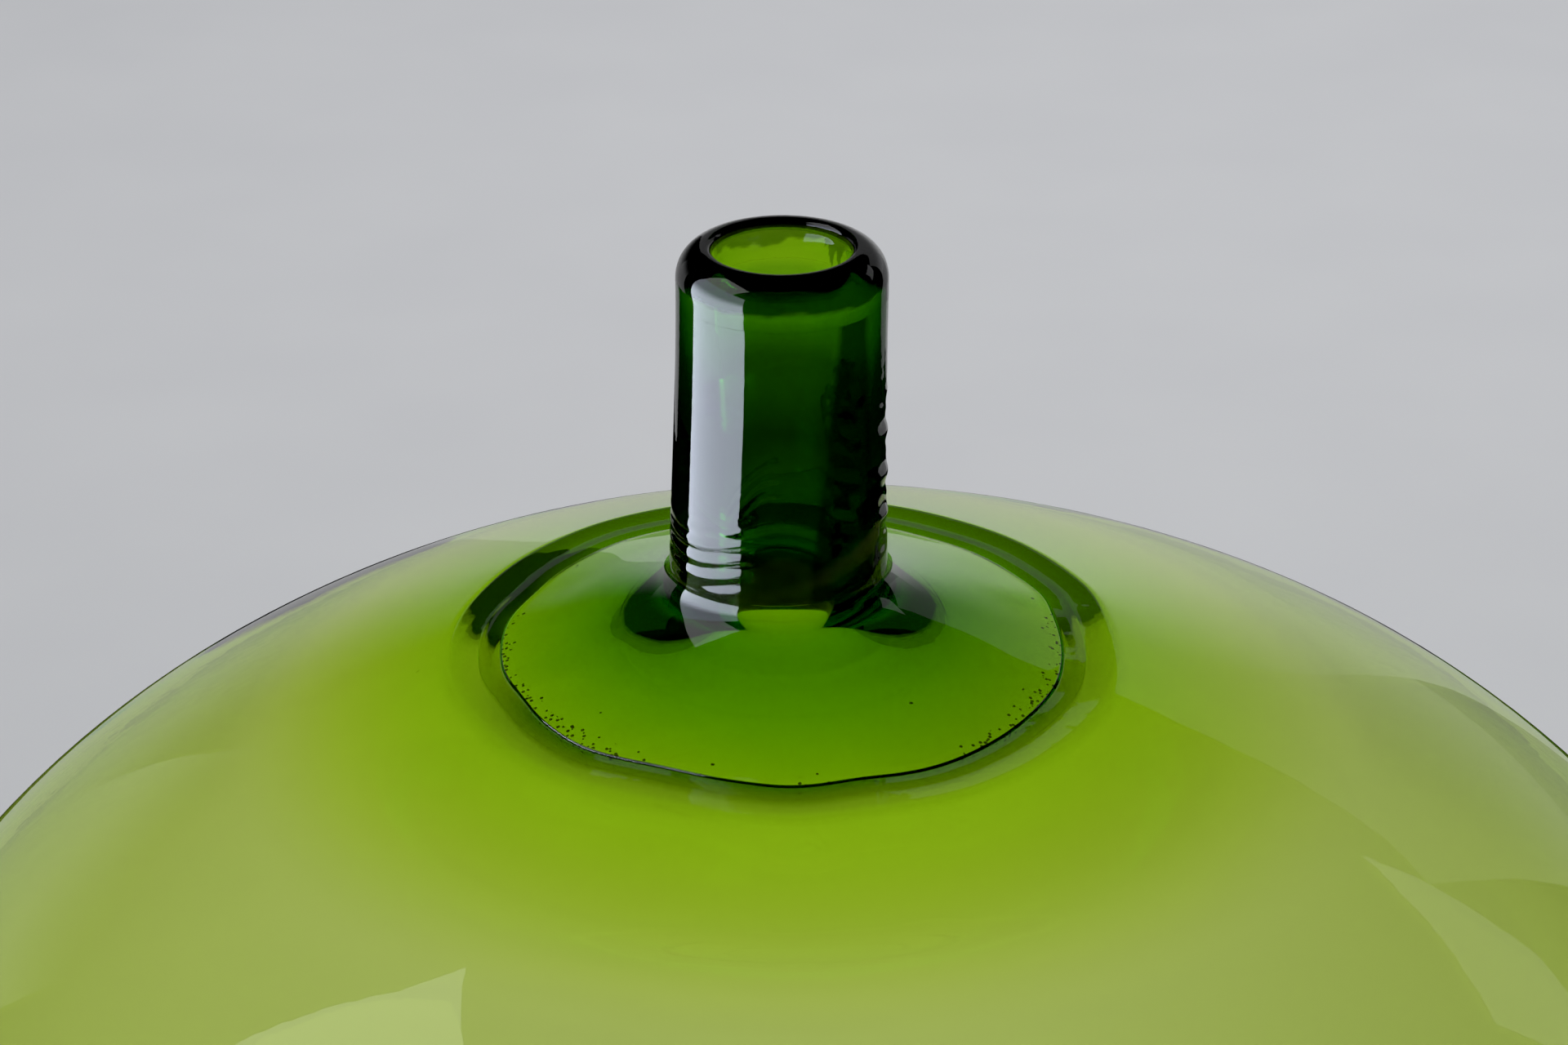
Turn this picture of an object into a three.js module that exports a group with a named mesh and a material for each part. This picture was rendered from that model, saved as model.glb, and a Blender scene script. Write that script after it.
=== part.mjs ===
// Large round blown-glass vase with a short dark stem, a raised pad round the stem and a folded lip.
// Millimetres, +Z up. The origin is the centre of the ground foot, on the surface that the vase stands on.
import * as THREE from 'three';

// Bubble: the outside is two superellipse halves that meet at the widest ring. The lower one is ground flat.
const bodyRadius = 165;
const widestHeight = 172;
const upperRise = 132.3;
const upperExponent = 2.2;
const groundCut = 5;
const lowerExponent = 2.3;
const sideWall = 2;
const crownWall = 7;
const crownWallFade = 40;
const footWall = 7;
const footWallFade = 60;
const throatRadius = 16;
const throatEdge = 1.5;

// Foot: a ground ring round a shallow kick, with the ground pontil pad in the middle of the kick.
const kickDepth = 4;
const kickRadius = 30;
const kickSlope = 4;
const pontilRadius = 20;
const pontilThickness = 2.6;
const pontilBevel = 1.2;

// Crown: the stem and all that goes round it stand a little to the left of the bubble's own axis.
const stemOffset = 4.52;
const offsetFadeStart = 50;
const offsetFadeEnd = 115;
const padRadius = 41.4;
const padEdgeThickness = 3.55;
const padEdgeRound = 0.7;
const seamClearance = 0.3;
const beadWidth = 3.1;
const beadCrest = 0.45;

// Stem: heights are above the edge of the pad. The foot of the stem sits a little left of its mouth.
const flareHeight = 14;
const flareRadius = 15.9;
const flareSpreadShare = 0.6;
const flareSpreadLift = 0.38;
const flareWaistShare = 0.1;
const flareWaistLift = 0.45;
const stemHeight = 62.6;
const stemRadius = 15;
const stemWaistRadius = 14.9;
const stemWaistHeight = 28;
const stemLowerRadius = 15.55;
const stemLowerHeight = 14;
const stemFootDrift = 0.9;
const boreRadius = 8;
const boreMouthRadius = 8.7;
const boreTaperStart = 19;
const funnelHeight = 12;
const funnelSpreadShare = 0.6;
const funnelSpreadLift = 0.25;
const funnelWaistLift = 0.5;

// Lip: folded inwards and fire polished.
const lipDepth = 7;
const lipBoreRadius = 9.7;
const lipShoulder = 4.7;
const lipInnerRound = 0.95;

// Facets round each turned piece, and points along each curve.
const facets = 48;
const domeSteps = 12;
const curveSteps = 7;
const roundSteps = 5;

// Heights that follow from the driving dimensions.
const lowerDrop = widestHeight + groundCut;
const footRadius = domeRadius(widestHeight, bodyRadius, lowerDrop, lowerExponent);
const beadOuterRadius = padRadius + seamClearance + beadWidth;
const seatHeight = widestHeight + domeRise(beadOuterRadius, bodyRadius, upperRise, upperExponent);
const padHeight = seatHeight + padEdgeThickness;
const collarTop = padHeight + flareHeight;
const lipBottom = padHeight + stemHeight - lipDepth;
const lipTop = padHeight + stemHeight;

// Glass colours from the photograph.
const bubbleGlass = glass(0x8fae34);
const beadGlass = glass(0x4f7d14);
const padGlass = glass(0x4c8a08);
const stemGlass = glass(0x06380a);
const lipGlass = glass(0x08240f);

function glass(colour) {
  return new THREE.MeshStandardMaterial({ color: colour, roughness: 0.05, metalness: 0 });
}

// Height of a superellipse dome over its widest ring, at a distance from its axis.
function domeRise(radius, halfWidth, rise, exponent) {
  return rise * (1 - (radius / halfWidth) ** exponent) ** (1 / exponent);
}

// Distance from its axis at which a superellipse dome has that height over its widest ring.
function domeRadius(height, halfWidth, rise, exponent) {
  return halfWidth * (1 - (height / rise) ** exponent) ** (1 / exponent);
}

// Points of a superellipse quarter between two heights, given as shares of its full rise.
function domeCurve(halfWidth, rise, exponent, shareFrom, shareTo, steps) {
  const angleOf = (share) => Math.acos(share ** (exponent / 2));
  const start = angleOf(shareFrom);
  const end = angleOf(shareTo);
  const points = [];
  for (let i = 0; i <= steps; i += 1) {
    const angle = start + ((end - start) * i) / steps;
    const radius = halfWidth * Math.sin(angle) ** (2 / exponent);
    const height = rise * Math.max(Math.cos(angle), 0) ** (2 / exponent);
    points.push([radius, height]);
  }
  return points;
}

// Points of an elliptical arc, both ends included. Angles are in quarter turns from the outward direction.
function arc(centreRadius, centreHeight, halfWidth, halfHeight, quarterFrom, quarterTo, steps) {
  const points = [];
  for (let i = 0; i <= steps; i += 1) {
    const angle = (Math.PI / 2) * (quarterFrom + ((quarterTo - quarterFrom) * i) / steps);
    points.push([centreRadius + halfWidth * Math.cos(angle), centreHeight + halfHeight * Math.sin(angle)]);
  }
  return points;
}

// Points of a smooth curve through a few control points.
function bend(controls, steps) {
  const corners = controls.map(([radius, height]) => new THREE.Vector2(radius, height));
  const curve = new THREE.CubicBezierCurve(...corners);
  return curve.getPoints(steps).map((point) => [point.x, point.y]);
}

function raised(points, height) {
  return points.map(([radius, own]) => [radius, own + height]);
}

function smooth(share) {
  const held = Math.min(Math.max(share, 0), 1);
  return held * held * (3 - 2 * held);
}

// The bubble's rings move from its own axis to the stem's axis as they get close to the stem.
function bubbleShift(radius, height) {
  if (height <= widestHeight) {
    return 0;
  }
  return -stemOffset * (1 - smooth((radius - offsetFadeStart) / (offsetFadeEnd - offsetFadeStart)));
}

function crownShift() {
  return -stemOffset;
}

// The stem leans: its foot is left of the pad's centre by the drift, and its mouth is over the centre.
function stemShift(radius, height) {
  if (height <= collarTop) {
    return -stemOffset - stemFootDrift * smooth((height - seatHeight) / (collarTop - seatHeight));
  }
  return -stemOffset - stemFootDrift * (1 - (height - collarTop) / (lipBottom - collarTop));
}

function lipShift() {
  return -stemOffset;
}

// Turns an outline of [radius, height] points about the vertical axis, then moves each ring sideways.
function turned(name, outline, shift, material) {
  const profile = outline.map(([radius, height]) => new THREE.Vector2(radius, height));
  const geometry = new THREE.LatheGeometry(profile, facets);
  geometry.rotateX(Math.PI / 2);
  const place = geometry.getAttribute('position');
  for (let i = 0; i < place.count; i += 1) {
    const radius = Math.hypot(place.getX(i), place.getY(i));
    place.setX(i, place.getX(i) + shift(radius, place.getZ(i)));
  }
  geometry.computeVertexNormals();
  const mesh = new THREE.Mesh(geometry, material);
  mesh.name = name;
  return mesh;
}

// A ring's outline ends where it starts.
function closed(outline) {
  return [...outline, outline[0]];
}

// Moves an outline inwards, at right angles to itself, by the wall's thickness at each of its points.
function insetBy(outline, wallAt) {
  return outline.map(([radius, height], i) => {
    const [radiusBefore, heightBefore] = outline[Math.max(i - 1, 0)];
    const [radiusAfter, heightAfter] = outline[Math.min(i + 1, outline.length - 1)];
    const out = heightAfter - heightBefore;
    const up = radiusAfter - radiusBefore;
    const share = wallAt(radius, height) / Math.hypot(out, up);
    return [radius - out * share, height + up * share];
  });
}

// The bubble's wall is thick round the bead and at the foot, and thins out towards the widest ring.
function bubbleWall(radius, height) {
  if (height > widestHeight) {
    return sideWall + (crownWall - sideWall) * (1 - smooth((radius - beadOuterRadius) / crownWallFade));
  }
  return sideWall + (footWall - sideWall) * (1 - smooth((radius - footRadius) / footWallFade));
}

// Blown bubble: a ground foot ring, a flat seat for the pad, and a crown that rises inside to its throat.
function bodyBubble() {
  const seatShare = (seatHeight - widestHeight) / upperRise;
  const lowerSide = domeCurve(bodyRadius, lowerDrop, lowerExponent, widestHeight / lowerDrop, 0, domeSteps);
  const upperSide = domeCurve(bodyRadius, upperRise, upperExponent, 0, seatShare, domeSteps);
  const below = ([radius, height]) => [radius, widestHeight - height];
  const outside = [...lowerSide.map(below), ...raised(upperSide, widestHeight).slice(1)];
  const outline = [
    [0, kickDepth],
    [kickRadius, kickDepth],
    [kickRadius + kickSlope, 0],
    ...outside,
    [throatRadius, seatHeight],
    [throatRadius, seatHeight - throatEdge],
    ...insetBy(outside, bubbleWall).reverse(),
    [0, kickDepth + footWall],
  ];
  return turned('body_bubble', outline, bubbleShift, bubbleGlass);
}

// Ground wad of glass that is left in the kick where the vase was held while its stem was worked.
function pontilPad() {
  const outline = [
    [0, kickDepth - pontilThickness],
    [pontilRadius - pontilBevel, kickDepth - pontilThickness],
    [pontilRadius, kickDepth - pontilThickness + pontilBevel],
    [pontilRadius, kickDepth],
    [0, kickDepth],
  ];
  return turned('pontil_pad', outline, () => 0, bubbleGlass);
}

// Rounded bead of glass that beds the edge of the pad.
function crownBead() {
  const inside = padRadius + seamClearance;
  const crestRadius = inside + beadWidth / 2;
  const crestHeight = padHeight + beadCrest;
  const rise = crestHeight - seatHeight;
  const outline = [
    [inside, seatHeight],
    ...arc(crestRadius, seatHeight, beadOuterRadius - crestRadius, rise, 0, 1, roundSteps),
    [inside, padHeight],
  ];
  return turned('crown_bead', closed(outline), crownShift, beadGlass);
}

// Pad that the stem spreads into: a low cone with a rounded edge, swept up into the stem over a funnel.
function stemCollar() {
  const start = padRadius - padEdgeRound;
  const edge = arc(start, padHeight - padEdgeRound, padEdgeRound, padEdgeRound, 0, 1, roundSteps);
  const span = start - flareRadius;
  const sweep = bend(
    [
      [start, padHeight],
      [start - span * flareSpreadShare, padHeight + flareHeight * flareSpreadLift],
      [flareRadius + span * flareWaistShare, padHeight + flareHeight * flareWaistLift],
      [flareRadius, collarTop],
    ],
    curveSteps,
  );
  const throatSpan = throatRadius - boreRadius;
  const funnel = bend(
    [
      [throatRadius, seatHeight],
      [boreRadius + throatSpan * funnelSpreadShare, seatHeight + funnelHeight * funnelSpreadLift],
      [boreRadius, seatHeight + funnelHeight * funnelWaistLift],
      [boreRadius, seatHeight + funnelHeight],
    ],
    curveSteps,
  );
  const outline = [
    [throatRadius, seatHeight],
    [padRadius, seatHeight],
    ...edge,
    ...sweep.slice(1),
    [boreRadius, collarTop],
    ...funnel.reverse().slice(0, -1),
  ];
  return turned('stem_collar', closed(outline), stemShift, padGlass);
}

// Thick-walled stem, with a bore that opens out a little towards the lip.
function stemTube() {
  const outside = bend(
    [
      [flareRadius, collarTop],
      [stemLowerRadius, collarTop + stemLowerHeight],
      [stemWaistRadius, collarTop + stemWaistHeight],
      [stemRadius, lipBottom],
    ],
    curveSteps,
  );
  const taperStart = collarTop + boreTaperStart;
  const bore = [[boreRadius, collarTop]];
  for (let i = 0; i <= curveSteps; i += 1) {
    const share = i / curveSteps;
    const radius = boreRadius + (boreMouthRadius - boreRadius) * smooth(share);
    bore.push([radius, taperStart + (lipBottom - taperStart) * share]);
  }
  return turned('stem_tube', closed([...outside, ...bore.reverse()]), stemShift, stemGlass);
}

// Lip: its outer shoulder is round, and it is a little wider inside than the bore.
function rimLip() {
  const shoulderHeight = lipTop - lipShoulder;
  const crestRadius = lipBoreRadius + lipInnerRound;
  const outline = [
    [lipBoreRadius, lipBottom],
    [stemRadius, lipBottom],
    ...arc(crestRadius, shoulderHeight, stemRadius - crestRadius, lipShoulder, 0, 1, curveSteps),
    ...arc(crestRadius, lipTop - lipInnerRound, lipInnerRound, lipInnerRound, 1, 2, roundSteps).slice(1),
  ];
  return turned('rim_lip', closed(outline), lipShift, lipGlass);
}

const vase = new THREE.Group();
vase.add(bodyBubble(), pontilPad(), crownBead(), stemCollar(), stemTube(), rimLip());

export default vase;
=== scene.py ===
import math

import bpy
import numpy as np
from mathutils import Euler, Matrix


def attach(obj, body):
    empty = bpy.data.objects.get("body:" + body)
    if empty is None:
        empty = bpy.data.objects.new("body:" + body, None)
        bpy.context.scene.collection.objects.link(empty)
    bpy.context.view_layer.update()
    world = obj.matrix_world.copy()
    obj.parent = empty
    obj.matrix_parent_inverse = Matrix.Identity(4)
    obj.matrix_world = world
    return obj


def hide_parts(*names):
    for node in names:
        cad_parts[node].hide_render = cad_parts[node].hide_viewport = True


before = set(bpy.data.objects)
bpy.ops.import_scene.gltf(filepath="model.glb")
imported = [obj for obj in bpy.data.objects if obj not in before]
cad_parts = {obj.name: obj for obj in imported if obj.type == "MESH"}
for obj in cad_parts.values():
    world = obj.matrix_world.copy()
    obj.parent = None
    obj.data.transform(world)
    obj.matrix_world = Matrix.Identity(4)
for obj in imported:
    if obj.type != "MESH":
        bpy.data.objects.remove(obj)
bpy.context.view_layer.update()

scene = bpy.context.scene
mm = 0.001  # every length below is in millimetres

# sizes that several pieces share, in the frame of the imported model
vase = dict(
    bodyRadius=165, widestHeight=172, upperRise=132.3, upperCurve=2.2,
    stemOffset=4.52, offsetFadeStart=50, offsetFadeEnd=115,
    seatHeight=300.83, topSkinHeight=303, padHeight=304.38, collarTop=318.38, lipBottom=359.98, lipTop=366.97,
    seamRadius=41.4, beadOuterRadius=44.8, throatRadius=22, throatSlope=0.25,
    collarRadius=15.85, stemFootDrift=0.7, boreRadius=8, boreMouth=9.3,
    kickDepth=4, pontilRadius=20,
    joinGap=0.015,  # half of what is left open between two fused faces
    fineStep=0.02,  # a step too small to see, which keeps two faces or their shading apart
)

# how every piece is cleaned up after its spin
meshing = dict(weld=0.002, sliver=0.001, smoothAngle=32)


# soft steps and waves: in the dictionaries below a pair is the start and span of a climb, and four values are a band

def smooth(share):
    held = np.clip(share, 0, 1)
    return held * held * (3 - 2 * held)


def climb(value, start, span):
    # 0 up to start, then softly up to 1
    return smooth((value - start) / span)


def band(value, start, rise, end, fall):
    # 0 up to start, softly up to 1, and from end softly down again
    return climb(value, start, rise) * (1 - climb(value, end, fall))


def wavy(angle, waves):
    # waves round the axis, each with its count, its height and its turn
    return sum(height * np.sin(count * angle + turn) for count, height, turn in waves)


# outlines: lists of [distance from the axis, height]

def dome(halfWidth, rise, curve, heightFrom, heightTo, steps):
    # quarter of a superellipse, between two heights over its widest ring
    start, end = [math.acos((height / rise) ** (curve / 2)) for height in (heightFrom, heightTo)]
    points = []
    for i in range(steps + 1):
        angle = start + (end - start) * i / steps
        points.append([halfWidth * math.sin(angle) ** (2 / curve), rise * max(math.cos(angle), 0) ** (2 / curve)])
    return points


def domeHeight(radius):
    # also takes an array of radii
    return vase["widestHeight"] + vase["upperRise"] * (1 - (radius / vase["bodyRadius"]) ** vase["upperCurve"]) ** (
        1 / vase["upperCurve"])


# the swell of glass round the pad: a flat ring with a low shoulder inside it, and a slope that fades outwards
swell = dict(end=90, slope=0.24, fade=1.35, ringRadius=49.3, ringTurn=1.5, ringSlope=-0.03,
             shoulderStart=43.2, shoulderEnd=45.4, shoulderSlope=0.1, step=0.05)


def crownProfile(share, withRing):
    # the dome with its swell, whose heights are summed up from its slopes
    s = swell
    radii = np.arange(vase["seamRadius"] - 1, s["end"] + s["step"], s["step"])
    heights = domeHeight(radii)
    away = np.clip((radii - s["ringRadius"]) / (s["end"] - s["ringRadius"]), 0, 1)
    slope = -np.gradient(heights, s["step"]) + share * s["slope"] * (1 - away) ** s["fade"]
    if withRing:
        outside = smooth((radii - s["ringRadius"]) / s["ringTurn"] + 0.5)
        middle = (s["shoulderStart"] + s["shoulderEnd"]) / 2
        shoulder = band(radii, s["shoulderStart"], middle - s["shoulderStart"], middle, s["shoulderEnd"] - middle)
        slope = slope * outside + s["ringSlope"] * (1 - outside) + s["shoulderSlope"] * shoulder
    rise = np.append(np.cumsum(slope[:0:-1])[::-1] * s["step"], 0)
    return radii, heights[-1] + rise


def crownHeight(radius, share=1, withRing=True):
    return float(np.interp(radius, *crownProfile(share, withRing)))


def roundCorner(centreRadius, centreHeight, halfWidth, halfHeight, quarterFrom, quarterTo, steps):
    # part of an ellipse, in quarter turns from straight out
    points = []
    for i in range(steps + 1):
        angle = math.pi / 2 * (quarterFrom + (quarterTo - quarterFrom) * i / steps)
        points.append([centreRadius + halfWidth * math.cos(angle), centreHeight + halfHeight * math.sin(angle)])
    return points


def sweep(corners, steps):
    # Bezier curve through its first and last corner
    a, b, c, d = [np.array(corner, float) for corner in corners]
    points = []
    for i in range(steps + 1):
        t = i / steps
        point = (1 - t) ** 3 * a + 3 * (1 - t) ** 2 * t * b + 3 * (1 - t) * t * t * c + t ** 3 * d
        points.append([float(point[0]), float(point[1])])
    return points


def straight(start, end, steps):
    return [[start[0] + (end[0] - start[0]) * i / steps, start[1] + (end[1] - start[1]) * i / steps]
            for i in range(steps + 1)]


def insetBy(outline, wallAt):
    # the same outline moved inwards by the wall's thickness at each point
    points = []
    for i, (radius, height) in enumerate(outline):
        before, after = outline[max(i - 1, 0)], outline[min(i + 1, len(outline) - 1)]
        out, up = after[1] - before[1], after[0] - before[0]
        share = wallAt(radius, height) / math.hypot(out, up)
        points.append([radius - out * share, height + up * share])
    return points


# where the real vase is not quite round: the pad's edge has flats and corners, each with its place in degrees
# round the axis, its width and its height, and a fine ripple
padEdge = dict(
    bumps=[(-113, 13, -1.15), (-89, 8, 0.75), (-58, 15, 0.95), (2, 14, -0.65), (20, 6, 0.3), (60, 8, -0.25),
           (124, 12, 0.55), (155, 10, -0.6), (-155, 9, -0.55), (-133, 8, 0.5), (-75, 6, -0.3)],
    ripple=[(17, 0.05, 1.3)], reach=9, above=(290, 8),
)


def seamShape(angle):
    total = np.zeros_like(angle)
    for centre, width, amount in padEdge["bumps"]:
        away = (np.degrees(angle) - centre + 180) % 360 - 180
        total += amount * np.exp(-(away / width) ** 2)
    return total + wavy(angle, padEdge["ripple"])


def unround(x, y, z):
    # moves what lies near the seam in or out, and leaves the rest
    radius, angle = np.hypot(x, y), np.arctan2(y, x)
    near = np.exp(-((radius - vase["seamRadius"]) / padEdge["reach"]) ** 4) * climb(z, *padEdge["above"])
    moved = radius + seamShape(angle) * near
    ratio = moved / np.maximum(radius, 1e-6)
    return x * ratio, y * ratio, z


def fromFront(x, y):
    # degrees round the axis, 0 at the front and 90 on the right
    return np.degrees(np.arctan2(x, -y))


# painted shade round the pad: a film of deeper green that thins out towards the ring, most in front and less on the
# right
ringShade = dict(gap=0.5, reach=9.8, fall=1.75, dip=0.1, dipRate=3, front=(-0.15, 0.7),
              rightShare=0.5, right=(0.3, 0.5), back=(-0.8, 0.6))


# painted shade: how deep the green round the pad is at each corner
def paintedRingShade(x, y, z):
    f = ringShade
    angle = np.radians(fromFront(x, y))
    front = climb(np.cos(angle), *f["front"])
    right = climb(np.sin(angle), *f["right"]) * climb(np.cos(angle), *f["back"])
    share = front + f["rightShare"] * (1 - front) * right
    away = np.clip((np.hypot(x, y) - vase["seamRadius"] - f["gap"]) / f["reach"], 0, 1)
    depth = (1 - f["dip"] * smooth(away * f["dipRate"])) * (1 - away ** f["fall"])
    return depth * share * (z > vase["topSkinHeight"])


def bubblePlace(x, y, z):
    # the bubble's upper rings move from its own axis to the stem's
    x, y, z = unround(x, y, z)
    away = (np.hypot(x, y) - vase["offsetFadeStart"]) / (vase["offsetFadeEnd"] - vase["offsetFadeStart"])
    shift = np.where(z > vase["widestHeight"], vase["stemOffset"] * (1 - smooth(away)), 0)
    return x - shift, y, z


def beadPlace(x, y, z):
    x, y, z = unround(x, y, z)
    return x - vase["stemOffset"], y, z


def stemPlace(x, y, z):
    # the stem leans: its foot is a little left of the middle of the pad and of the mouth
    x, y, z = unround(x, y, z)
    below = smooth((z - vase["seatHeight"]) / (vase["collarTop"] - vase["seatHeight"]))
    above = 1 - (z - vase["collarTop"]) / (vase["lipBottom"] - vase["collarTop"])
    drift = np.where(z <= vase["collarTop"], below, np.clip(above, 0, 1))
    return x - vase["stemOffset"] - vase["stemFootDrift"] * drift, y, z


def centredPlace(x, y, z):
    return x, y, z


def spinPiece(name, outline, joins, steps, place, filmAt=None, dustAt=None):
    # a ring of corners is laid along the outline and spun round the upright axis in edit mode
    bpy.ops.object.select_all(action="DESELECT")
    bpy.ops.mesh.primitive_circle_add(vertices=len(outline), radius=mm, fill_type="NOTHING", location=(0, 0, 0))
    piece = bpy.context.object
    piece.name = piece.data.name = name
    for vertex, (radius, height) in zip(piece.data.vertices, outline):
        vertex.co = (max(radius, 0) * mm, 0, height * mm)
    bpy.ops.object.mode_set(mode="EDIT")
    bpy.ops.mesh.select_all(action="SELECT")
    bpy.ops.mesh.spin(steps=steps, angle=2 * math.pi, center=(0, 0, 0), axis=(0, 0, 1))
    bpy.ops.mesh.select_all(action="SELECT")
    bpy.ops.mesh.remove_doubles(threshold=meshing["weld"] * mm)
    bpy.ops.mesh.dissolve_degenerate(threshold=meshing["sliver"] * mm)
    bpy.ops.mesh.delete_loose()
    bpy.ops.mesh.select_all(action="SELECT")
    bpy.ops.mesh.normals_make_consistent(inside=False)
    bpy.ops.object.mode_set(mode="OBJECT")

    # faces that are fused to a neighbour are marked, from the stretch of outline they were spun from
    mesh = piece.data
    middles = np.empty(len(mesh.polygons) * 3)
    mesh.polygons.foreach_get("center", middles)
    middles = middles.reshape(-1, 3) / mm
    rings = np.stack([np.hypot(middles[:, 0], middles[:, 1]) / math.cos(math.pi / steps), middles[:, 2]], 1)
    line = np.array(outline)
    mids = (line + np.roll(line, -1, 0)) / 2
    nearest = np.array([np.argmin(((mids - ring) ** 2).sum(1)) for ring in rings])
    fused = np.array([any(first <= i < last for first, last in joins) for i in range(len(line))])
    joined = mesh.attributes.new("joined", "FLOAT", "FACE")
    joined.data.foreach_set("value", fused[nearest].astype(float))

    # how deep the film of colour is at each corner, and how much dust lies there
    spots = np.empty(len(mesh.vertices) * 3)
    mesh.vertices.foreach_get("co", spots)
    spots = spots.reshape(-1, 3) / mm
    for attribute, amountAt in (("film", filmAt), ("dust", dustAt)):
        amount = mesh.attributes.new(attribute, "FLOAT", "POINT")
        if amountAt:
            amount.data.foreach_set("value", np.clip(amountAt(*spots.T), 0, 1).astype(float))
    spots = np.stack(place(*spots.T), 1) * mm
    mesh.vertices.foreach_set("co", spots.ravel())
    mesh.update()
    bpy.ops.object.shade_smooth_by_angle(angle=math.radians(meshing["smoothAngle"]))
    return piece


# materials

def toLinear(hexColour):
    parts = [int(hexColour[i:i + 2], 16) / 255 for i in (1, 3, 5)]
    return [part / 12.92 if part <= 0.04045 else ((part + 0.055) / 1.055) ** 2.4 for part in parts] + [1]


def addNode(tree, kind, settings=None, **links):
    # one node with its settings; links and values go to inputs by name, with _ for a space
    node = tree.nodes.new(kind)
    for key, value in (settings or {}).items():
        setattr(node, key, value)
    for key, value in links.items():
        socket = node.inputs[int(key[1:])] if key[1:].isdigit() else node.inputs[key.replace("_", " ")]
        if isinstance(value, bpy.types.NodeSocket):
            tree.links.new(value, socket)
        else:
            socket.default_value = value
    return node


def glassMaterial(name, look):
    # Blown soda-lime glass: clear, smooth and coloured all through, so it is deeper where it is thicker.
    # Its skin has slow waves from blowing, a fine ripple from the tools and a few specks, and in places a film of
    # deeper colour, which round the pad and on the bubble's right is painted shade.
    material = bpy.data.materials.new(name)
    material.use_nodes = True
    tree = material.node_tree
    tree.nodes.clear()
    place = addNode(tree, "ShaderNodeTexCoord").outputs["Object"]
    wave = addNode(tree, "ShaderNodeTexNoise", Vector=place, Scale=1000 / look["waveLength"], Detail=1.0)
    ripple = addNode(tree, "ShaderNodeTexNoise", Vector=place, Scale=1000 / look["rippleLength"], Detail=2.0)
    waveBump = addNode(tree, "ShaderNodeBump", Height=wave.outputs["Fac"], Strength=1.0,
                       Distance=look["waveHeight"] * mm)
    rippleBump = addNode(tree, "ShaderNodeBump", Height=ripple.outputs["Fac"], Strength=1.0,
                         Distance=look["rippleHeight"] * mm, Normal=waveBump.outputs["Normal"])

    # specks: a few cells of a fine pattern have a dark dot, and many more of them where dust lies
    cells = addNode(tree, "ShaderNodeTexVoronoi", Vector=place, Scale=1000 / look["speckSpacing"], Randomness=1.0)
    dot = addNode(tree, "ShaderNodeMath", dict(operation="LESS_THAN"), _0=cells.outputs["Distance"],
                  _1=look["speckSize"] / look["speckSpacing"])
    choice = addNode(tree, "ShaderNodeSeparateColor", Color=cells.outputs["Color"])
    dust = addNode(tree, "ShaderNodeAttribute", dict(attribute_type="GEOMETRY", attribute_name="dust"))
    share = addNode(tree, "ShaderNodeMapRange", Value=dust.outputs["Fac"], From_Min=0.0, From_Max=1.0,
                    To_Min=look["speckShare"], To_Max=look["dustShare"])
    rare = addNode(tree, "ShaderNodeMath", dict(operation="LESS_THAN"), _0=choice.outputs["Red"],
                   _1=share.outputs["Result"])
    speck = addNode(tree, "ShaderNodeMath", dict(operation="MULTIPLY"), _0=dot.outputs["Value"],
                    _1=rare.outputs["Value"])

    # the film lies on the skin only, and not on faces fused to a neighbour
    film = addNode(tree, "ShaderNodeAttribute", dict(attribute_type="GEOMETRY", attribute_name="film"))
    joined = addNode(tree, "ShaderNodeAttribute", dict(attribute_type="GEOMETRY", attribute_name="joined"))
    onSkin = addNode(tree, "ShaderNodeMapRange", Value=joined.outputs["Fac"], From_Min=0.0, From_Max=1.0,
                     To_Min=film.outputs["Fac"], To_Max=0.0)
    deeper = addNode(tree, "ShaderNodeMix", dict(data_type="RGBA"), _0=onSkin.outputs["Result"],
                     _6=toLinear("#ffffff"), _7=toLinear(look["filmColour"]))
    colour = addNode(tree, "ShaderNodeMix", dict(data_type="RGBA"), _0=speck.outputs["Value"],
                     _6=deeper.outputs[2], _7=toLinear(look["speckColour"]))

    # the foot is ground and so rough, up to where the skin is as it was blown
    height = addNode(tree, "ShaderNodeSeparateXYZ", Vector=place)
    ground = addNode(tree, "ShaderNodeMapRange", Value=height.outputs["Z"], From_Min=look["groundStart"] * mm,
                     From_Max=look["groundEnd"] * mm, To_Min=look["groundRough"], To_Max=0.0)

    # fused faces bend nothing and reflect nothing, and what lamps shine on the floor passes straight through
    bending = addNode(tree, "ShaderNodeMapRange", Value=joined.outputs["Fac"], From_Min=0.0, From_Max=1.0,
                      To_Min=look["ior"], To_Max=1.0)
    glass = addNode(tree, "ShaderNodeBsdfPrincipled", Base_Color=colour.outputs[2], Transmission_Weight=1.0,
                    Roughness=ground.outputs["Result"], IOR=bending.outputs["Result"],
                    Normal=rippleBump.outputs["Normal"])
    clear = addNode(tree, "ShaderNodeBsdfTransparent", Color=toLinear("#ffffff"))
    rays = addNode(tree, "ShaderNodeLightPath")
    surface = addNode(tree, "ShaderNodeMixShader", _0=rays.outputs["Is Shadow Ray"], _1=glass.outputs["BSDF"],
                      _2=clear.outputs["BSDF"])

    # the colour that white light has left after so many millimetres of this glass
    taken = [-math.log(max(part, 1e-4)) / (look["tintDepth"] * mm) for part in toLinear(look["tint"])[:3]]
    density = max(taken) * 1.05  # a little over the most that is taken, so that no part of the colour is 0
    inside = addNode(tree, "ShaderNodeVolumeAbsorption", Color=[1 - part / density for part in taken] + [1],
                     Density=density)
    addNode(tree, "ShaderNodeOutputMaterial", Surface=surface.outputs["Shader"], Volume=inside.outputs["Volume"])
    return material


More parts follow.
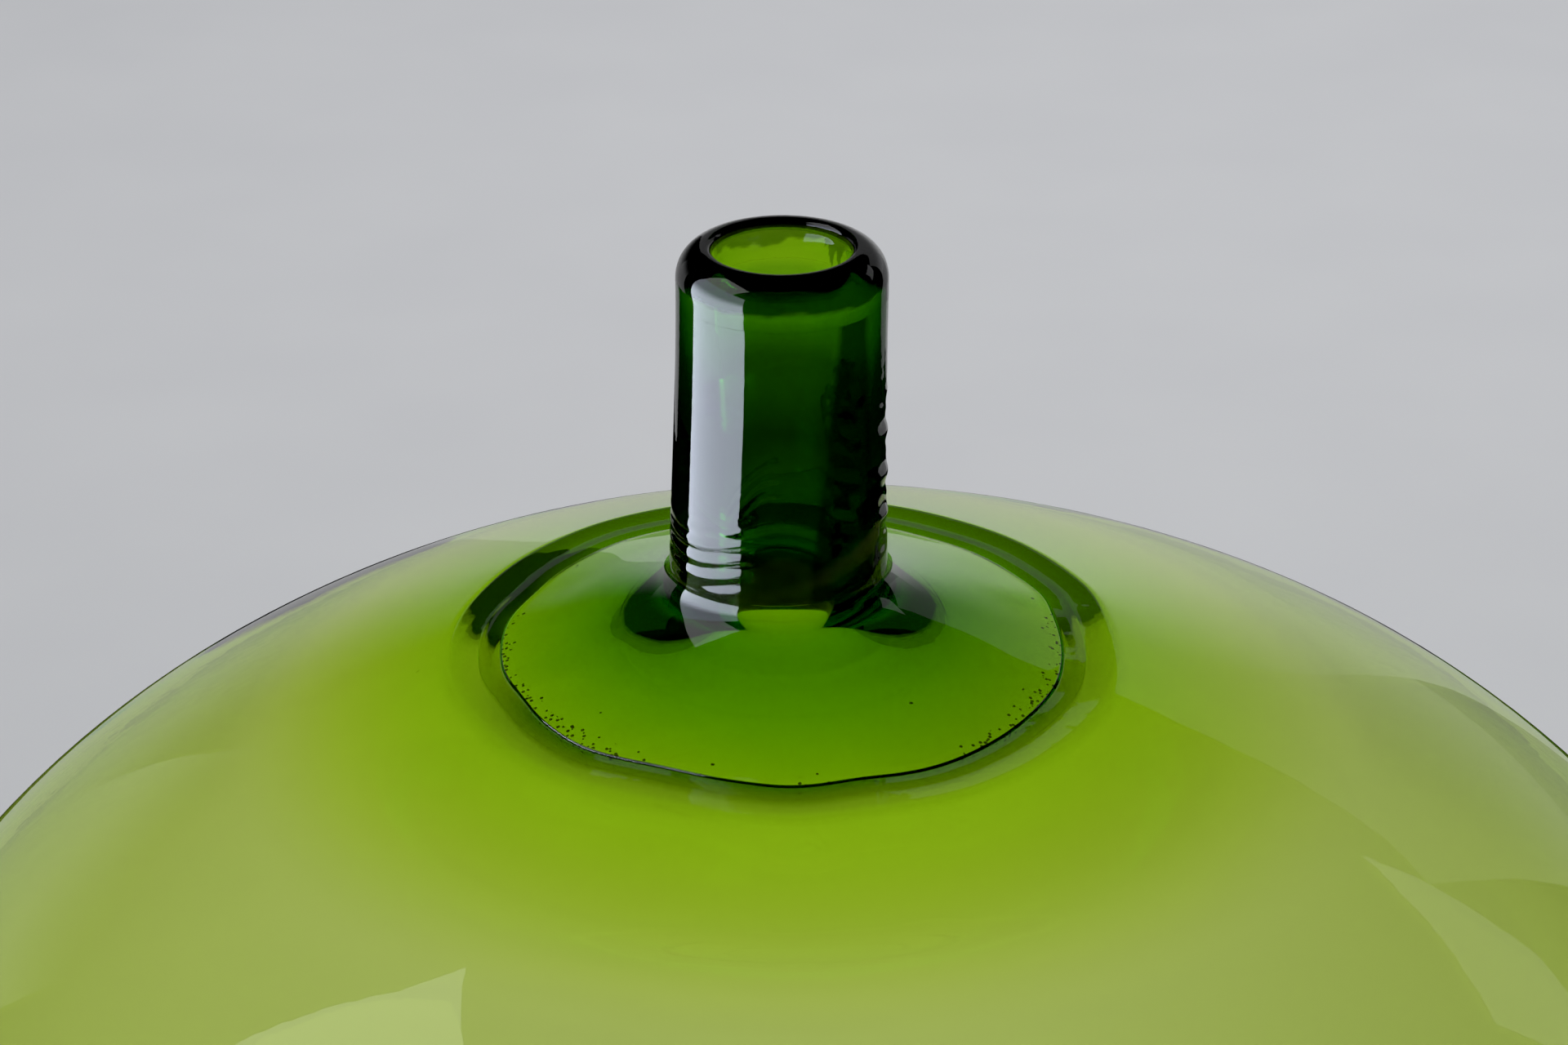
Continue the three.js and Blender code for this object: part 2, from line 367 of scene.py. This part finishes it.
def finishPiece(piece, material, node):
    piece.data.materials.clear()
    piece.data.materials.append(material)
    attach(piece, "root")
    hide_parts(node)
    print("made", piece.name, len(piece.data.polygons), "faces")


# the finish that all pieces share; tint is what white light has left after tintDepth
skin = dict(ior=1.5, tintDepth=10, waveLength=45, waveHeight=0.35, rippleLength=7, rippleHeight=0.012,
            speckSpacing=9, speckSize=0.15, speckShare=0.04, dustShare=0.8, speckColour="#2a2410",
            filmColour="#ffffff", groundStart=0.2, groundEnd=1.9, groundRough=0.0)


# bubble: thick at the crown, thin from the shoulder down, with a ground foot ring round a shallow kick
bubble = dict(
    lowerDrop=177, lowerCurve=2.3, sideWall=2, crownWall=7, crownFade=40, footWall=7, footFade=60,
    kickRadius=30, kickSlope=4, kickTop=(0.6, 0.3), kickFoot=(0.5, 0.25), kickEdge=0.3, footRound=0.8,
    insideSwell=0.4, throatHandle=6, crownHandle=(10, 1.8), ringOutside=2, ringInside=1,
    crownSteps=24, swellSteps=24, ringSteps=20, edgeSteps=14, lowerSteps=44, upperSteps=44, spinSteps=192,
    rightDarkening=0.16, rightFrom=(10, 90), rightAbove=(200, 40), filmGap=0.53,
    # the film colour here is that of the painted shade round the pad and on the right
    look=dict(skin, tint="#c7f22f", groundRough=0.45, filmColour="#3a6200"),
)


def paintedBubbleShade(x, y, z):
    # painted shade round the pad, and a little painted shade towards the right
    b = bubble
    outside = np.hypot(x, y) > vase["beadOuterRadius"] + b["filmGap"]
    right = b["rightDarkening"] * climb(x, *b["rightFrom"]) * climb(z, *b["rightAbove"]) * outside
    return np.maximum(paintedRingShade(x, y, z), right)


def makeBubble():
    b = bubble
    seat = vase["seatHeight"] - vase["joinGap"]
    widest = vase["widestHeight"]
    edge = vase["beadOuterRadius"] + 2 * vase["joinGap"]
    lower = [[radius, widest - height] for radius, height in
             dome(vase["bodyRadius"], b["lowerDrop"], b["lowerCurve"], widest, 0, b["lowerSteps"])]
    footRadius = lower[0][0]
    upper = [[radius, widest + height] for radius, height in
             dome(vase["bodyRadius"], vase["upperRise"], vase["upperCurve"], 0,
                  domeHeight(swell["end"]) - widest, b["upperSteps"])]

    def crown(share, withRing):
        outer, inner = swell["ringRadius"] + b["ringOutside"], swell["ringRadius"] - b["ringInside"]
        radii = np.concatenate([np.linspace(swell["end"], outer, b["swellSteps"] + 1)[1:],
                                np.linspace(outer, inner, b["ringSteps"])[1:],
                                np.linspace(inner, edge, b["edgeSteps"])[1:]])
        return lower + upper[1:] + [[float(radius), crownHeight(radius, share, withRing)] for radius in radii]

    def wallAt(radius, height):
        side = b["sideWall"]
        if height > widest:
            return side + (b["crownWall"] - side) * (1 - climb(radius, vase["beadOuterRadius"], b["crownFade"]))
        return side + (b["footWall"] - side) * (1 - climb(radius, footRadius, b["footFade"]))

    outside = crown(1, True)
    inside = insetBy(crown(b["insideSwell"], False), wallAt)[::-1]
    throat, roof, lead = vase["throatRadius"], seat - vase["fineStep"], b["throatHandle"]
    underCrown = sweep([[throat, roof], [throat + lead, roof - lead * vase["throatSlope"]],
                        [inside[0][0] - b["crownHandle"][0], inside[0][1] + b["crownHandle"][1]],
                        inside[0]], b["crownSteps"])

    kick, kickStart, kickEnd = vase["kickDepth"], b["kickRadius"], b["kickRadius"] + b["kickSlope"]
    outline = [[0, kick], [vase["pontilRadius"] - vase["fineStep"], kick], [kickStart, kick],
               [kickStart + b["kickTop"][0], kick - b["kickTop"][1]],
               [kickEnd - b["kickFoot"][0], b["kickFoot"][1]], [kickEnd + b["kickEdge"], 0],
               [footRadius - b["footRound"], 0]]
    outline += outside[1:]
    joins = [(0, 1), (len(outline) - 1, len(outline) + 1)]
    outline += [[edge, seat]] + underCrown + inside[1:] + [[0, kick + b["footWall"]]]
    piece = spinPiece("bodyBubble", outline, joins, b["spinSteps"], bubblePlace, paintedBubbleShade)
    finishPiece(piece, glassMaterial("blownGlassBubble", b["look"]), "body_bubble")


makeBubble()


# pontil pad: the ground-down wad of glass under the foot
pontil = dict(thickness=2.6, bevel=1.2, bevelSteps=5, spinSteps=96,
              look=dict(skin, tint="#bdeb27", groundRough=0.5))


def makePontil():
    p = pontil
    radius, bevel = vase["pontilRadius"], p["bevel"]
    top = vase["kickDepth"] - 2 * vase["joinGap"]
    low = vase["kickDepth"] - p["thickness"]
    outline = [[0, low], [radius - bevel, low]]
    outline += roundCorner(radius - bevel, low + bevel, bevel, bevel, -1, 0, p["bevelSteps"])[1:]
    outline += [[radius, top], [0, top]]
    joins = [(len(outline) - 2, len(outline) - 1)]
    piece = spinPiece("pontilPad", outline, joins, p["spinSteps"], centredPlace)
    finishPiece(piece, glassMaterial("groundGlassPontil", p["look"]), "pontil_pad")


makePontil()


# bead: the rounded ring of glass that beds the edge of the pad
bead = dict(shoulder=0.24, grooveDepth=0.35, grooveSteps=8, crownSteps=16, spinSteps=256,
            # the bead's film colour is that of the painted shade round the pad, deepest along the seam
            look=dict(skin, tint="#7fa800", waveLength=18, waveHeight=0.05, filmColour="#3a6200"))


def makeBead():
    b = bead
    seat = vase["seatHeight"] + vase["joinGap"]
    seam = vase["seamRadius"] + vase["joinGap"]
    outer, crest = vase["beadOuterRadius"], seam + b["shoulder"]
    outline = [[seam, seat], [outer, seat]]
    for radius, _ in straight([outer, 0], [crest, 0], b["crownSteps"]):
        outline.append([radius, crownHeight(radius)])
    outline += roundCorner(crest, crownHeight(crest) - b["grooveDepth"], b["shoulder"], b["grooveDepth"], 1, 2,
                           b["grooveSteps"])[1:]
    joins = [(0, 2), (len(outline) - 1, len(outline))]
    piece = spinPiece("crownBead", outline, joins, b["spinSteps"], beadPlace, paintedRingShade)
    finishPiece(piece, glassMaterial("trailedGlassBead", b["look"]), "crown_bead")


makeBead()


# pad: a low cone of darker glass that sweeps up into the stem
pad = dict(
    grooveDepth=0.36, grooveSteps=8, sweepStart=41, spread=0.95, spreadLift=0.55, waistLift=0.75, sweepSteps=60,
    funnelHeight=8, funnelTurn=0.45, funnelHandle=8, funnelSteps=28, spinSteps=256,
    evenFilm=0.12, rightDarkening=0.36, rightFrom=(0, 32), backFrom=(0, 12),
    arcFilm=0.2, arcBand=(17, 4, 24, 7), arcFront=(0.3, 0.5),
    dustBand=(28, 14, 90, 14), dustElsewhere=0.06, dustFrom=(38.6, 2),
    look=dict(skin, tint="#81c600", waveLength=30, waveHeight=0.2, filmColour="#0c5900",
              speckSpacing=0.8, speckSize=0.28, speckShare=0.0006),
)


def padFilm(x, y, z):
    # darker colour in the right half of the pad, and a soft darker arc in front of the stem
    p = pad
    right = p["rightDarkening"] * climb(x, *p["rightFrom"]) * (1 - climb(y, *p["backFrom"]))
    toFront = np.cos(np.radians(fromFront(x, y)))
    arc = p["arcFilm"] * band(np.hypot(x, y), *p["arcBand"]) * climb(toFront, *p["arcFront"])
    return (p["evenFilm"] + right + arc) * (z > vase["topSkinHeight"])


def padDust(x, y, z):
    # grains of scale caught along the edge of the pad, most at the sides of the front
    along = band(np.abs(fromFront(x, y)), *pad["dustBand"]) + pad["dustElsewhere"]
    return along * climb(np.hypot(x, y), *pad["dustFrom"]) * (z > vase["topSkinHeight"])


def makePad():
    p = pad
    seat = vase["seatHeight"] + vase["joinGap"]
    seam = vase["seamRadius"] - vase["joinGap"]
    top = vase["collarTop"] - vase["joinGap"]
    outline = [[vase["throatRadius"], seat], [seam, seat]]
    outline += roundCorner(p["sweepStart"], vase["padHeight"] - p["grooveDepth"], seam - p["sweepStart"],
                           p["grooveDepth"], 0, 1, p["grooveSteps"])
    span, flare = p["sweepStart"] - vase["collarRadius"], top - vase["padHeight"]
    outline += sweep([[p["sweepStart"], vase["padHeight"]],
                      [p["sweepStart"] - span * p["spread"], vase["padHeight"] + flare * p["spreadLift"]],
                      [vase["collarRadius"], vase["padHeight"] + flare * p["waistLift"]],
                      [vase["collarRadius"], top]], p["sweepSteps"])[1:]
    joins = [(0, 2), (len(outline) - 1, len(outline))]
    outline += [[vase["boreRadius"], top]]
    # the fine step at the end keeps the shading of the funnel apart from the fused underside
    bore, throat, low, lead = vase["boreRadius"], vase["throatRadius"], seat + vase["fineStep"], p["funnelHandle"]
    outline += sweep([[bore, seat + p["funnelHeight"]], [bore, seat + p["funnelHeight"] * p["funnelTurn"]],
                      [throat - lead, low + lead * vase["throatSlope"]], [throat, low]], p["funnelSteps"])
    piece = spinPiece("stemCollar", outline, joins, p["spinSteps"], stemPlace, padFilm, padDust)
    finishPiece(piece, glassMaterial("blownGlassPad", p["look"]), "stem_collar")


makePad()


# stem: thick glass, nearly solid at its foot, with a bore that opens out towards the lip
stem = dict(
    lowerRadius=15.55, lowerHeight=14, waistRadius=14.9, waistHeight=28, radius=15, taperStart=19,
    sweepSteps=84, spinSteps=192, boreReach=12,
    lowFilm=0.86, lowBand=(323, 10, 344, 9),
    streakFilm=0.985, streakTop=358, streakLength=33, streakBand=(29, 5, 49, 7), streakSpread=(15, 12),
    markDepth=0.045, markSpacing=2.6, markBand=(318.8, 2, 326, 5), markFrom=(5, 15), markMiddle=322,
    markBend=0.02, markTilt=0.16, markWobble=0.5, markWobbleLength=2.6,
    dentDepth=0.14, dentBand=(62, 14, 112, 14), dentHeights=(320, 3, 343, 5), longDent=6.1, dentTurn=1.1,
    shortDent=3.3, dentShare=0.7, dentTwist=7,
    look=dict(skin, tint="#479200", waveLength=16, waveHeight=0.12, rippleLength=2.5, rippleHeight=0.01,
              filmColour="#003800"),
)


def stemFilm(x, y, z):
    # darker in the lower part, with a dark streak up the right of the front that widens downwards
    s = stem
    down = np.clip((s["streakTop"] - z) / s["streakLength"], 0, 1)
    start, rise, end, fall = s["streakBand"]
    left, right = s["streakSpread"]
    streak = band(fromFront(x, y), start - left * down, rise, end + right * down, fall)
    film = np.maximum(s["lowFilm"] * band(z, *s["lowBand"]), s["streakFilm"] * streak)
    return film * (np.hypot(x, y) > s["boreReach"])


def tubePlace(x, y, z):
    # tool marks ring the left of the stem just over its foot
    s = stem
    radius, angle = np.hypot(x, y), fromFront(x, y)
    bend = s["markBend"] * (z - s["markMiddle"]) ** 2 - s["markTilt"] * x
    wobble = s["markWobble"] * np.sin(x / s["markWobbleLength"])
    mark = np.sin(2 * math.pi * (z + bend + wobble) / s["markSpacing"])
    mark = s["markDepth"] * mark * band(z, *s["markBand"]) * climb(-angle, *s["markFrom"])
    # and shallow dents run up its right edge, where they break the light
    dent = 1 + np.sin(2 * math.pi * z / s["longDent"] + s["dentTurn"])
    dent = dent + s["dentShare"] * np.sin(2 * math.pi * z / s["shortDent"] + angle / s["dentTwist"])
    dent = s["dentDepth"] * dent * band(angle, *s["dentBand"]) * band(z, *s["dentHeights"])
    ratio = 1 + (mark - dent) * (radius > s["boreReach"]) / radius
    return stemPlace(x * ratio, y * ratio, z)


def makeStem():
    s = stem
    low = vase["collarTop"] + vase["joinGap"]
    top = vase["lipBottom"] - vase["joinGap"]
    outline = [[vase["boreRadius"], low]]
    outline += sweep([[vase["collarRadius"], low], [s["lowerRadius"], low + s["lowerHeight"]],
                      [s["waistRadius"], low + s["waistHeight"]], [s["radius"], top]], s["sweepSteps"])
    joins = [(0, 1), (len(outline) - 1, len(outline))]
    taper = low + s["taperStart"]
    for i in range(s["sweepSteps"] + 1):
        share = 1 - i / s["sweepSteps"]
        outline.append([vase["boreRadius"] + (vase["boreMouth"] - vase["boreRadius"]) * float(smooth(share)),
                        taper + (top - taper) * share])
    piece = spinPiece("stemTube", outline, joins, s["spinSteps"], tubePlace, stemFilm)
    finishPiece(piece, glassMaterial("blownGlassStem", s["look"]), "stem_tube")


makeStem()


# lip: thick, folded and fire polished, a little wider inside than the bore, with a wavy line where the fold ends
lip = dict(
    mouthRadius=9.9, shoulder=4.7, innerRound=0.95, foldDepth=4.4, foldStep=0.1, foldStart=2.4, foldEnd=1.2,
    foldTurn=(0.5, 0.6), sideSteps=8, shoulderSteps=16, crestSteps=8, foldSteps=10, spinSteps=256,
    waves=[(2, 0.6, 0.6), (5, 0.3, 2), (9, 0.1, 0)], waveHeight=0.7, waveReach=2, waveSoft=0.8, waveMargin=1.5,
    filmSoft=0.5, outerFrom=11.5, outerEdge=362.1, outerWaves=[(5, 0.22, 1), (13, 0.13, 0), (29, 0.06, 2)],
    front=(-0.1, 0.35), innerTo=11, innerFilm=0.85, innerEdge=363.9,
    innerWaves=[(3, 0.35, 0.6), (11, 0.2, 0), (23, 0.12, 1)], back=(0.1, 0.3),
    streakBand=(112, 6, 137, 5), streakLength=3.4, streakCount=31, streakDepth=0.4,
    look=dict(skin, tint="#5fab00", waveLength=12, waveHeight=0.15, rippleLength=2.5, rippleHeight=0.01,
              filmColour="#1c4a00"),
)


def lipFilm(x, y, z):
    # in front the shoulder of the lip is deep green down to a wavy line
    p = lip
    radius, angle = np.hypot(x, y), np.radians(fromFront(x, y))
    edge = p["outerEdge"] + wavy(angle, p["outerWaves"])
    outer = climb(np.cos(angle), *p["front"]) * climb(z, edge, p["filmSoft"]) * (radius > p["outerFrom"])
    # inside, the back of the fold is deeper green too, with a ragged lower edge and streaks on its right
    streak = band(np.degrees(angle), *p["streakBand"])
    streak = streak * (1 - p["streakDepth"] + p["streakDepth"] * np.sin(p["streakCount"] * angle))
    ragged = p["innerEdge"] + wavy(angle, p["innerWaves"]) - p["streakLength"] * streak
    inner = climb(-np.cos(angle), *p["back"]) * climb(z, ragged, p["filmSoft"]) * (radius < p["innerTo"])
    return np.maximum(outer, p["innerFilm"] * inner)


def lipPlace(x, y, z):
    # the inside of the lip goes softly up and down round the mouth
    p = lip
    inner = smooth((vase["boreMouth"] + p["waveReach"] - np.hypot(x, y)) / p["waveSoft"])
    upright = climb(z, vase["lipBottom"], p["waveMargin"]) * smooth(
        (vase["lipTop"] - p["waveMargin"] - z) / p["waveMargin"])
    wave = wavy(np.arctan2(y, x), p["waves"])
    return x - vase["stemOffset"], y, z + p["waveHeight"] * wave * inner * upright


def makeLip():
    p = lip
    bore, side, top = vase["boreMouth"], stem["radius"], vase["lipTop"]
    low = vase["lipBottom"] + vase["joinGap"]
    mouth, rounding, shoulder = p["mouthRadius"], p["innerRound"], p["shoulder"]
    crest, fold, folded = mouth + rounding, top - p["foldDepth"], bore - p["foldStep"]
    outline = [[bore, low]] + straight([side, low], [side, top - shoulder], p["sideSteps"])[:-1]
    outline += roundCorner(crest, top - shoulder, side - crest, shoulder, 0, 1, p["shoulderSteps"])
    outline += roundCorner(crest, top - rounding, rounding, rounding, 1, 2, p["crestSteps"])[1:]
    outline += sweep([[mouth, top - rounding], [mouth, top - p["foldStart"]],
                      [folded, fold + p["foldEnd"]], [folded, fold]], p["foldSteps"])[1:]
    outline += sweep([[folded, fold], [folded, fold - p["foldTurn"][0]], [bore, fold - p["foldTurn"][1]],
                      [bore, low]], p["foldSteps"])[1:-1]
    joins = [(0, 1)]
    piece = spinPiece("rimLip", outline, joins, p["spinSteps"], lipPlace, lipFilm)
    finishPiece(piece, glassMaterial("firePolishedGlassLip", p["look"]), "rim_lip")


makeLip()


# floor: matt pale paper, seen behind the vase and through it; its grain is coarser than real, so that it shows
floor = dict(size=14000, colour="#dfe1e4", shade="#d8dade", mottle=90, grain=1.2, grainHeight=0.02, rough=0.9)


def makeFloor():
    f = floor
    bpy.ops.object.select_all(action="DESELECT")
    bpy.ops.mesh.primitive_plane_add(size=f["size"] * mm, location=(0, 0, 0))
    ground = bpy.context.object
    ground.name = "paperFloor"
    material = bpy.data.materials.new("mattPaper")
    material.use_nodes = True
    tree = material.node_tree
    tree.nodes.clear()
    place = addNode(tree, "ShaderNodeTexCoord").outputs["Object"]
    cloud = addNode(tree, "ShaderNodeTexNoise", Vector=place, Scale=1000 / f["mottle"], Detail=2.0)
    colour = addNode(tree, "ShaderNodeMix", dict(data_type="RGBA"), _0=cloud.outputs["Fac"],
                     _6=toLinear(f["colour"]), _7=toLinear(f["shade"]))
    grain = addNode(tree, "ShaderNodeTexNoise", Vector=place, Scale=1000 / f["grain"], Detail=2.0)
    bump = addNode(tree, "ShaderNodeBump", Height=grain.outputs["Fac"], Strength=1.0,
                   Distance=f["grainHeight"] * mm)
    paper = addNode(tree, "ShaderNodeBsdfPrincipled", Base_Color=colour.outputs[2], Roughness=f["rough"],
                    Specular_IOR_Level=0.0, Normal=bump.outputs["Normal"])
    addNode(tree, "ShaderNodeOutputMaterial", Surface=paper.outputs["BSDF"])
    ground.data.materials.append(material)
    ground.visible_glossy = False
    print("floor laid")


makeFloor()


# light: a soft even sky, a broad lamp over the back, and bright sheets that show only in the glass
studio = dict(
    sky="#c8c8cb", skyStrength=0.57,
    topLamp=dict(place=(200, 1000, 1700), turn=(-12, 4, 0), size=1300, power=14.5, colour="#fffefc"),
)


def addLamp(name, lamp):
    light = bpy.data.lights.new(name, "AREA")
    light.shape = "SQUARE"
    light.size = lamp["size"] * mm
    light.energy = lamp["power"]
    light.color = toLinear(lamp["colour"])[:3]
    holder = bpy.data.objects.new(name, light)
    holder.location = [value * mm for value in lamp["place"]]
    holder.rotation_euler = Euler([math.radians(value) for value in lamp["turn"]])
    holder.visible_glossy = False
    holder.visible_transmission = False
    scene.collection.objects.link(holder)


def addPanel(name, panel):
    # a bright sheet that shows only where the glass reflects it or lets it through: it has four corners, or stands
    # on a line between two places with its top leaning over, and its light can change towards the top
    bpy.ops.object.select_all(action="DESELECT")
    bpy.ops.mesh.primitive_plane_add(size=1, location=(0, 0, 0))
    sheet = bpy.context.object
    sheet.name = name
    corners = panel.get("corners")
    if not corners:
        low, high = panel["heights"]
        (startX, startY), (endX, endY), lean = panel["start"], panel["end"], panel["lean"]
        corners = [(startX, startY, low), (endX, endY, low),
                   (startX + lean, startY, high), (endX + lean, endY, high)]
    for vertex, corner in zip(sheet.data.vertices, corners):
        vertex.co = [value * mm for value in corner]
    material = bpy.data.materials.new(name + "Glow")
    material.use_nodes = True
    tree = material.node_tree
    tree.nodes.clear()
    height = addNode(tree, "ShaderNodeSeparateXYZ", Vector=addNode(tree, "ShaderNodeTexCoord").outputs["Object"])
    fade = addNode(tree, "ShaderNodeMapRange", dict(interpolation_type="SMOOTHSTEP"), Value=height.outputs["Z"],
                   From_Min=panel["fade"][0] * mm, From_Max=panel["fade"][1] * mm, To_Min=panel["strength"],
                   To_Max=panel["strength"] * panel["fade"][2])
    rays = addNode(tree, "ShaderNodeLightPath")
    dimmed = addNode(tree, "ShaderNodeMapRange", Value=rays.outputs["Is Transmission Ray"], From_Min=0.0,
                     From_Max=1.0, To_Min=1.0, To_Max=panel["seenThrough"])
    power = addNode(tree, "ShaderNodeMath", dict(operation="MULTIPLY"), _0=fade.outputs["Result"],
                    _1=dimmed.outputs["Result"])
    glow = addNode(tree, "ShaderNodeEmission", Color=toLinear(panel["colour"]), Strength=power.outputs["Value"])
    addNode(tree, "ShaderNodeOutputMaterial", Surface=glow.outputs["Emission"])
    sheet.data.materials.append(material)
    sheet.visible_camera = False
    sheet.visible_diffuse = False
    sheet.visible_shadow = False


# fade gives the heights between which the light changes, and its share above them;
# seenThrough is the share of a sheet's light that shows through the glass
upright = dict(lean=0, fade=(0, 1000, 1), colour="#f7f8fa", seenThrough=0.5)
panels = dict(
    softBox=dict(upright, corners=[(-660, -754, -60), (-660, 248, -60), (-660, -754, 800), (-660, 219, 800)],
                 fade=(320, 560, 0.3), strength=8.2, colour="#e4edff", seenThrough=0.13),
    softBoxTop=dict(upright, start=(-660, -400), end=(-660, 219), heights=(800, 1047), lean=238, strength=1.65),
    farLeft=dict(upright, start=(-1065, 746), end=(-727, 1078), heights=(-100, 700), fade=(350, 700, 0),
                 strength=0.4),
    rearLeft=dict(upright, start=(-840, 1243), end=(-260, 1477), heights=(-306, 700), fade=(100, 650, 0),
                  strength=0.42),
    rearMiddle=dict(upright, start=(-260, 1477), end=(634, 1360), heights=(-306, 250), fade=(-306, 250, 1.45),
                    strength=0.45),
    rearMiddleTop=dict(upright, start=(-260, 1477), end=(634, 1360), heights=(250, 1064), fade=(250, 800, 0.3),
                       strength=0.65),
    rearRight=dict(upright, start=(634, 1360), end=(1060, 1060), heights=(-306, 250), fade=(-306, 250, 1.35),
                   strength=0.26),
    rearRightTop=dict(upright, start=(634, 1360), end=(1060, 1060), heights=(250, 1064), fade=(250, 800, 0.45),
                      strength=0.47),
    farRight=dict(upright, corners=[(1198, 903, 808), (1370, 610, 564), (984, 1132, 1187), (1324, 704, 1081)],
                  strength=0.5),
)


def lightStudio():
    s = studio
    world = bpy.data.worlds.new("softStudio")
    world.use_nodes = True
    tree = world.node_tree
    tree.nodes.clear()
    sky = addNode(tree, "ShaderNodeBackground", Color=toLinear(s["sky"]), Strength=s["skyStrength"])
    dark = addNode(tree, "ShaderNodeBackground", Color=toLinear("#000000"), Strength=0.0)
    rays = addNode(tree, "ShaderNodeLightPath")
    through = addNode(tree, "ShaderNodeMath", dict(operation="MAXIMUM"), _0=rays.outputs["Is Glossy Ray"],
                      _1=rays.outputs["Is Transmission Ray"])
    both = addNode(tree, "ShaderNodeMixShader", _0=through.outputs["Value"], _1=sky.outputs["Background"],
                   _2=dark.outputs["Background"])
    addNode(tree, "ShaderNodeOutputWorld", Surface=both.outputs["Shader"])
    scene.world = world
    addLamp("topLamp", s["topLamp"])
    for name, panel in panels.items():
        addPanel(name, panel)
    print("studio lit")


lightStudio()


# camera: worked out from the outline of the bubble, the seam and the mouth in the photograph
view = dict(place=(-4.52, -492.95, 566.16), turn=(63.821, 0.225, -0.125), lens=87.18)


def addCamera():
    camera = bpy.data.cameras.new("viewCamera")
    camera.lens = view["lens"]
    camera.sensor_width = 36
    camera.sensor_fit = "HORIZONTAL"
    camera.clip_start = 0.01
    camera.clip_end = 60
    holder = bpy.data.objects.new("viewCamera", camera)
    holder.location = [value * mm for value in view["place"]]
    holder.rotation_euler = Euler([math.radians(value) for value in view["turn"]])
    scene.collection.objects.link(holder)
    scene.camera = holder


addCamera()
scene.view_settings.view_transform = "Standard"
scene.view_settings.look = "None"
scene.cycles.max_bounces = 28
scene.cycles.transmission_bounces = 24
scene.cycles.glossy_bounces = 12
scene.cycles.transparent_max_bounces = 32
scene.cycles.sample_clamp_indirect = 6

bpy.context.view_layer.update()
